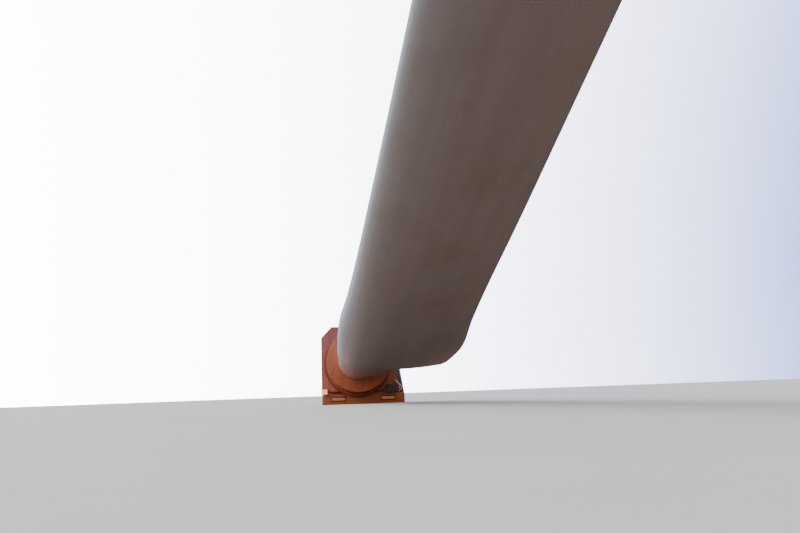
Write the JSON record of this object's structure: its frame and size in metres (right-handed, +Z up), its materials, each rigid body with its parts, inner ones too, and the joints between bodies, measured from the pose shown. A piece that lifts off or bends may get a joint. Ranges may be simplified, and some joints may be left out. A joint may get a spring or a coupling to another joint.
{
  "type": "wind turbine blade in a lifting and turning root holder",
  "caption": "Long hollow rotor blade bolted by its root to a turning drum on a tilting steel frame with lift cylinders and a base of beams.",
  "frame": {"origin": "on the underside of the holder's rear beam, straight below the blade's axis", "axes": "+Z up, -Y is the direction in which the blade points away from the holder, +X is towards the trailing edge"},
  "size_m": [4.4292, 38.2851, 9.1189],
  "materials": {
    "gelcoat": "light grey gelcoat, half gloss",
    "orange_paint": "rust orange paint, worn at edges",
    "dark_steel": "dark grey paint",
    "machined_steel": "turned steel, greased",
    "chrome": "hard chrome",
    "amber_lens": "ribbed amber lens"
  },
  "bodies": {
    "base": {"rear_beam": "orange_paint", "left_long_beam": "orange_paint", "right_long_beam": "orange_paint", "cylinder_cross_beam": "orange_paint", "front_cross_beam": "orange_paint", "left_pivot_bracket": "orange_paint", "right_pivot_bracket": "orange_paint", "left_pivot_pin": "machined_steel", "right_pivot_pin": "machined_steel", "left_cylinder_bracket": "orange_paint", "right_cylinder_bracket": "orange_paint", "left_cylinder_pin": "machined_steel", "right_cylinder_pin": "machined_steel", "left_rear_lamp": "amber_lens", "right_rear_lamp": "amber_lens", "right_end_gusset": "orange_paint"},
    "tilt_frame": {"bearing_outer_ring": "machined_steel", "face_plate": "orange_paint", "centre_cover": "orange_paint", "left_edge_channel": "orange_paint", "right_edge_channel": "orange_paint", "top_channel": "orange_paint", "bottom_channel": "orange_paint", "cross_rib": "orange_paint", "left_pivot_arm": "orange_paint", "right_pivot_arm": "orange_paint", "left_lift_lugs": "orange_paint", "right_lift_lugs": "orange_paint", "left_turn_drive": "dark_steel", "right_turn_drive": "dark_steel", "valve_box": "dark_steel", "valve_pipes": "machined_steel", "side_marker_lamp": "amber_lens"},
    "turner": {"blade_root_collar": "gelcoat", "blade_upper_shell": "gelcoat", "blade_lower_shell": "gelcoat", "blade_tip": "gelcoat", "root_flange": "orange_paint", "drum_wall": "orange_paint", "drum_back_ring": "orange_paint", "bearing_inner_ring": "machined_steel"},
    "left_barrel": {"left_lift_barrel": "orange_paint"},
    "right_barrel": {"right_lift_barrel": "orange_paint"},
    "left_rod": {"left_lift_rod": "chrome"},
    "right_rod": {"right_lift_rod": "chrome"}
  },
  "joints": [
    {"name": "lift", "type": "hinge", "parent": "base", "child": "tilt_frame", "pos_m": [0, 0.2, 1.06], "axis": [-1, 0, 0], "range_deg": [-12, 48]},
    {"name": "blade_turn", "type": "hinge", "parent": "tilt_frame", "child": "turner", "pos_m": [0, -0.62, 1.62], "axis": [0, -0.9781, 0.2079], "continuous": true},
    {"name": "left_barrel_swing", "type": "hinge", "parent": "base", "child": "left_barrel", "pos_m": [-0.62, 1.95, 0.26], "axis": [-1, 0, 0], "range_deg": [-1.2, 4.2]},
    {"name": "right_barrel_swing", "type": "hinge", "parent": "base", "child": "right_barrel", "pos_m": [0.62, 1.95, 0.26], "axis": [-1, 0, 0], "range_deg": [-1.2, 4.2]},
    {"name": "left_rod_slide", "type": "slide", "parent": "left_barrel", "child": "left_rod", "axis": [0, -0.9837, 0.18], "range_m": [-0.092, 0.356]},
    {"name": "right_rod_slide", "type": "slide", "parent": "right_barrel", "child": "right_rod", "axis": [0, -0.9837, 0.18], "range_m": [-0.092, 0.356]}
  ],
  "couplings": [
    {"joint": "left_barrel_swing", "follows": "lift", "ratio": 0.08},
    {"joint": "right_barrel_swing", "follows": "lift", "ratio": 0.08},
    {"joint": "left_rod_slide", "follows": "lift", "m_per_rad": 0.42},
    {"joint": "right_rod_slide", "follows": "lift", "m_per_rad": 0.42}
  ]
}
